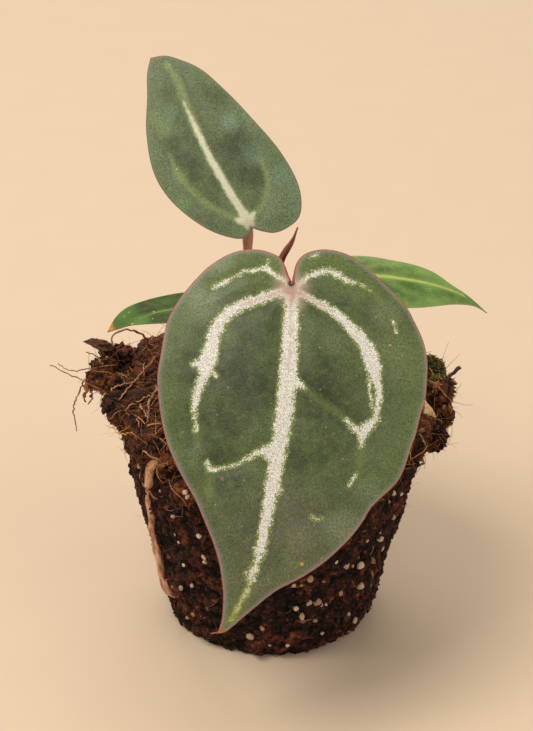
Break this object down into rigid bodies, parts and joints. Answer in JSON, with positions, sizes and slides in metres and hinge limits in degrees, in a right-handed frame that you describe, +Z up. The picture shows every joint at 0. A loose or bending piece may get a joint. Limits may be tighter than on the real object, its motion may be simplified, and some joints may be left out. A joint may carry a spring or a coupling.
{
  "type": "young anthurium plant with bare root ball",
  "caption": "Young crystal anthurium: heart-shaped velvet leaves with silver veins on red-brown stalks, standing on its bare root ball, which keeps a pot's taper.",
  "frame": {"origin": "centre of the root ball's flat bottom", "axes": "+Z up; -Y is the side that the large front leaf hangs towards, from which the picture was taken; +X to the right there"},
  "size_m": [0.0784, 0.0796, 0.1004],
  "materials": {
    "soil": "dark, moist coir and bark potting soil, rough and crumbly",
    "root": "smooth pale tan root skin",
    "bark": "raw broken bark",
    "stem": "smooth green-brown stem",
    "bract": "dry, papery, finely veined",
    "petiole": "smooth red-brown stalk, slightly waxy",
    "velvet_leaf": "velvety dark green leaf with silver veins and a reddish margin",
    "young_leaf": "satin mid-green leaf with a pale midrib",
    "new_leaf": "dark red, waxy, rolled young leaf"
  },
  "bodies": {
    "root": {"root_ball": "soil", "side_root": "root", "bark_chip_left": "bark", "bark_chip_right": "bark", "stem": "stem", "cataphyll_left": "bract", "cataphyll_right": "bract", "petiole_front": "petiole", "petiole_back": "petiole", "petiole_right": "petiole", "petiole_left": "petiole", "blade_front": "velvet_leaf", "blade_back": "velvet_leaf", "blade_right": "young_leaf", "blade_left": "young_leaf", "new_leaf": "new_leaf"}
  },
  "joints": []
}
